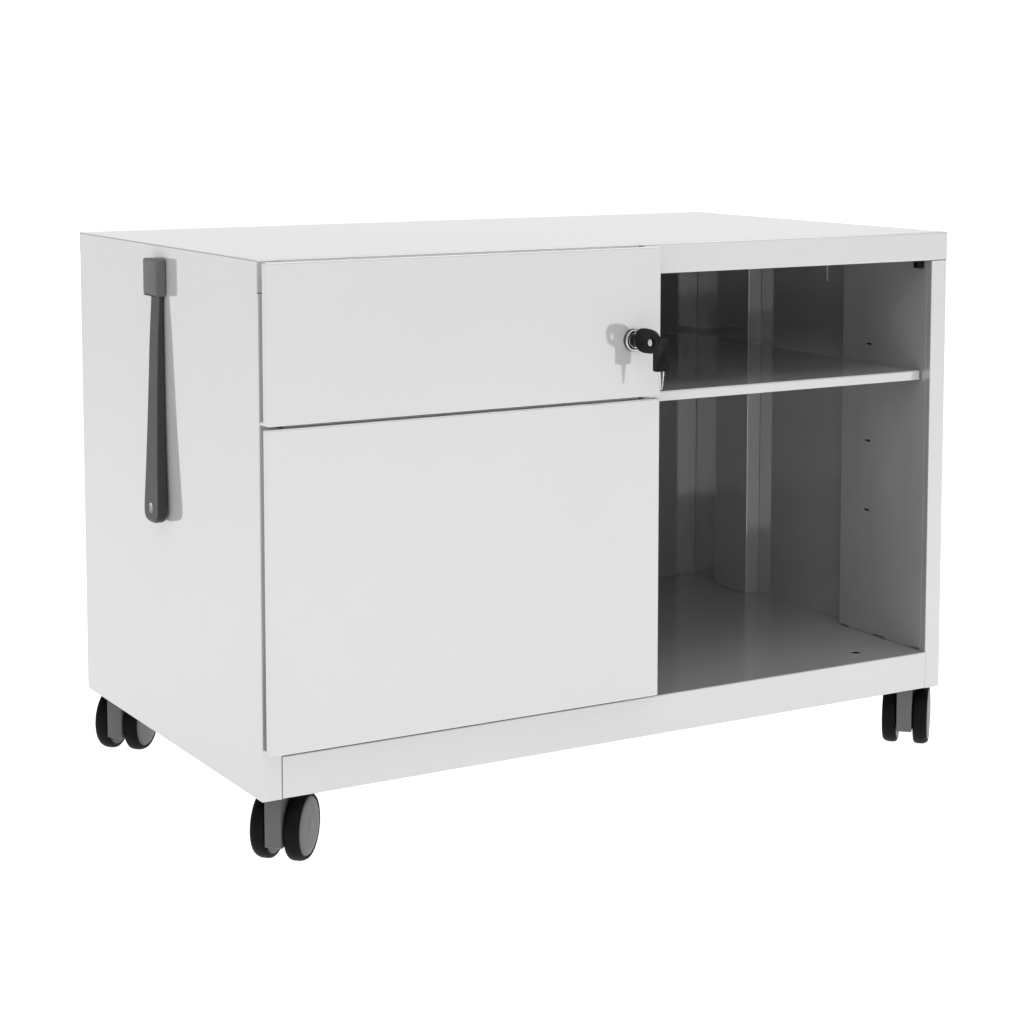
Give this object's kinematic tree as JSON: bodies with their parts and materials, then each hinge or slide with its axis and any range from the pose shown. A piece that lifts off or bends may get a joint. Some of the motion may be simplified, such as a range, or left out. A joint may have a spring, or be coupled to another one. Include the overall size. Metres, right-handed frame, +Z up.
{
  "type": "filing cabinet",
  "caption": "Low mobile steel filing cabinet on swivelling twin-wheel castors, with side-grip drawers, an open bay with a shelf, a keyed lock and a pull handle.",
  "frame": {"origin": "on the floor, under the middle of the whole object's bounding box, castors and keys included", "axes": "+Z up, front with the drawers towards -Y, drawers on the -X side and open bay on the +X side"},
  "size_m": [0.8396, 0.5532, 0.564],
  "materials": {
    "outer_enamel": "glossy white powder coat",
    "inner_enamel": "satin grey enamel",
    "zinc_steel": "bright zinc plate",
    "chrome": "polished",
    "black_plastic": "fine grained black",
    "grey_plastic": "fine grained dark grey",
    "tyre": "soft black tread with grey disc"
  },
  "bodies": {
    "carcass": {"left_side_panel": "outer_enamel", "right_side_panel": "outer_enamel", "top_panel": "outer_enamel", "base_panel": "outer_enamel", "back_panel": "outer_enamel", "divider_panel": "outer_enamel", "divider_liner": "inner_enamel", "front_post_left": "outer_enamel", "front_post_right": "outer_enamel", "rear_post_left": "outer_enamel", "rear_post_right": "outer_enamel", "shelf": "outer_enamel", "shelf_clip_front_left": "zinc_steel", "shelf_clip_front_right": "zinc_steel", "shelf_clip_rear_left": "zinc_steel", "shelf_clip_rear_right": "zinc_steel", "corner_stop": "black_plastic", "castor_rail_left": "zinc_steel", "castor_rail_right": "zinc_steel", "upper_slide_outer_left": "zinc_steel", "upper_slide_outer_right": "zinc_steel", "lower_slide_outer_left": "zinc_steel", "lower_slide_outer_right": "zinc_steel", "handle_bracket": "grey_plastic", "castor_front_left_plate": "zinc_steel", "castor_front_right_plate": "zinc_steel", "castor_rear_left_plate": "zinc_steel", "castor_rear_right_plate": "zinc_steel"},
    "upper_drawer": {"upper_front": "outer_enamel", "upper_box": "inner_enamel", "upper_slide_inner_left": "zinc_steel", "upper_slide_inner_right": "zinc_steel", "lock_barrel": "chrome"},
    "lower_drawer": {"lower_front": "outer_enamel", "lower_box": "inner_enamel", "lower_slide_inner_left": "zinc_steel", "lower_slide_inner_right": "zinc_steel"},
    "upper_slides": {"upper_slide_middle_left": "zinc_steel", "upper_slide_middle_right": "zinc_steel"},
    "lower_slides": {"lower_slide_middle_left": "zinc_steel", "lower_slide_middle_right": "zinc_steel"},
    "lock_core": {"lock_plug": "chrome", "lock_cam": "zinc_steel"},
    "inserted_key": {"key": "black_plastic", "key_rivet": "chrome"},
    "spare_key": {"spare_key": "black_plastic"},
    "lock_bar": {"lock_bar": "zinc_steel"},
    "pull_handle": {"pull_handle": "black_plastic"},
    "castor_front_left_fork": {"castor_front_left_housing": "grey_plastic"},
    "castor_front_left_left_roll": {"castor_front_left_wheel_left": "tyre"},
    "castor_front_left_right_roll": {"castor_front_left_wheel_right": "tyre"},
    "castor_front_right_fork": {"castor_front_right_housing": "grey_plastic"},
    "castor_front_right_left_roll": {"castor_front_right_wheel_left": "tyre"},
    "castor_front_right_right_roll": {"castor_front_right_wheel_right": "tyre"},
    "castor_rear_left_fork": {"castor_rear_left_housing": "grey_plastic"},
    "castor_rear_left_left_roll": {"castor_rear_left_wheel_left": "tyre"},
    "castor_rear_left_right_roll": {"castor_rear_left_wheel_right": "tyre"},
    "castor_rear_right_fork": {"castor_rear_right_housing": "grey_plastic"},
    "castor_rear_right_left_roll": {"castor_rear_right_wheel_left": "tyre"},
    "castor_rear_right_right_roll": {"castor_rear_right_wheel_right": "tyre"}
  },
  "joints": [
    {"name": "upper_drawer_slide", "type": "slide", "parent": "carcass", "child": "upper_drawer", "axis": [0, -1, 0], "range_m": [0, 0.36]},
    {"name": "upper_middle_slide", "type": "slide", "parent": "carcass", "child": "upper_slides", "axis": [0, -1, 0], "range_m": [0, 0.18]},
    {"name": "lower_drawer_slide", "type": "slide", "parent": "carcass", "child": "lower_drawer", "axis": [0, -1, 0], "range_m": [0, 0.36]},
    {"name": "lower_middle_slide", "type": "slide", "parent": "carcass", "child": "lower_slides", "axis": [0, -1, 0], "range_m": [0, 0.18]},
    {"name": "lock_turn", "type": "hinge", "parent": "upper_drawer", "child": "lock_core", "pos_m": [-0.01849, -0.23044, 0.4727], "axis": [0, 1, 0], "range_deg": [0, 90]},
    {"name": "lock_bar_slide", "type": "slide", "parent": "carcass", "child": "lock_bar", "axis": [0, 0, -1], "range_m": [0, 0.0078]},
    {"name": "key_pull", "type": "slide", "parent": "lock_core", "child": "inserted_key", "axis": [0, -1, 0], "range_m": [0, 0.022]},
    {"name": "spare_key_swing", "type": "hinge", "parent": "inserted_key", "child": "spare_key", "pos_m": [-0.01849, -0.26384, 0.4733], "axis": [1, 0, 0], "range_deg": [-120, 38]},
    {"name": "pull_handle_swing", "type": "hinge", "parent": "carcass", "child": "pull_handle", "pos_m": [-0.41079, 0.02006, 0.5165], "axis": [0, 1, 0], "range_deg": [0, 55]},
    {"name": "castor_front_left_swivel", "type": "hinge", "parent": "carcass", "child": "castor_front_left_fork", "pos_m": [-0.38029, -0.18744, 0.07], "axis": [0, 0, 1], "continuous": true},
    {"name": "castor_front_left_left_roll", "type": "hinge", "parent": "castor_front_left_fork", "child": "castor_front_left_left_roll", "pos_m": [-0.36615, -0.1733, 0.03234], "axis": [-0.7071, 0.7071, 0], "continuous": true},
    {"name": "castor_front_left_right_roll", "type": "hinge", "parent": "castor_front_left_fork", "child": "castor_front_left_right_roll", "pos_m": [-0.36615, -0.1733, 0.03234], "axis": [-0.7071, 0.7071, 0], "continuous": true},
    {"name": "castor_front_right_swivel", "type": "hinge", "parent": "carcass", "child": "castor_front_right_fork", "pos_m": [0.36771, -0.18744, 0.07], "axis": [0, 0, 1], "continuous": true},
    {"name": "castor_front_right_left_roll", "type": "hinge", "parent": "castor_front_right_fork", "child": "castor_front_right_left_roll", "pos_m": [0.38185, -0.1733, 0.03234], "axis": [-0.7071, 0.7071, 0], "continuous": true},
    {"name": "castor_front_right_right_roll", "type": "hinge", "parent": "castor_front_right_fork", "child": "castor_front_right_right_roll", "pos_m": [0.38185, -0.1733, 0.03234], "axis": [-0.7071, 0.7071, 0], "continuous": true},
    {"name": "castor_rear_left_swivel", "type": "hinge", "parent": "carcass", "child": "castor_rear_left_fork", "pos_m": [-0.38029, 0.22456, 0.07], "axis": [0, 0, 1], "continuous": true},
    {"name": "castor_rear_left_left_roll", "type": "hinge", "parent": "castor_rear_left_fork", "child": "castor_rear_left_left_roll", "pos_m": [-0.36615, 0.2387, 0.03234], "axis": [-0.7071, 0.7071, 0], "continuous": true},
    {"name": "castor_rear_left_right_roll", "type": "hinge", "parent": "castor_rear_left_fork", "child": "castor_rear_left_right_roll", "pos_m": [-0.36615, 0.2387, 0.03234], "axis": [-0.7071, 0.7071, 0], "continuous": true},
    {"name": "castor_rear_right_swivel", "type": "hinge", "parent": "carcass", "child": "castor_rear_right_fork", "pos_m": [0.36771, 0.22456, 0.07], "axis": [0, 0, 1], "continuous": true},
    {"name": "castor_rear_right_left_roll", "type": "hinge", "parent": "castor_rear_right_fork", "child": "castor_rear_right_left_roll", "pos_m": [0.38185, 0.2387, 0.03234], "axis": [-0.7071, 0.7071, 0], "continuous": true},
    {"name": "castor_rear_right_right_roll", "type": "hinge", "parent": "castor_rear_right_fork", "child": "castor_rear_right_right_roll", "pos_m": [0.38185, 0.2387, 0.03234], "axis": [-0.7071, 0.7071, 0], "continuous": true}
  ],
  "couplings": [
    {"joint": "upper_middle_slide", "follows": "upper_drawer_slide", "ratio": 0.5},
    {"joint": "lower_middle_slide", "follows": "lower_drawer_slide", "ratio": 0.5},
    {"joint": "lock_turn", "follows": "lock_bar_slide", "rad_per_m": 201.38}
  ]
}
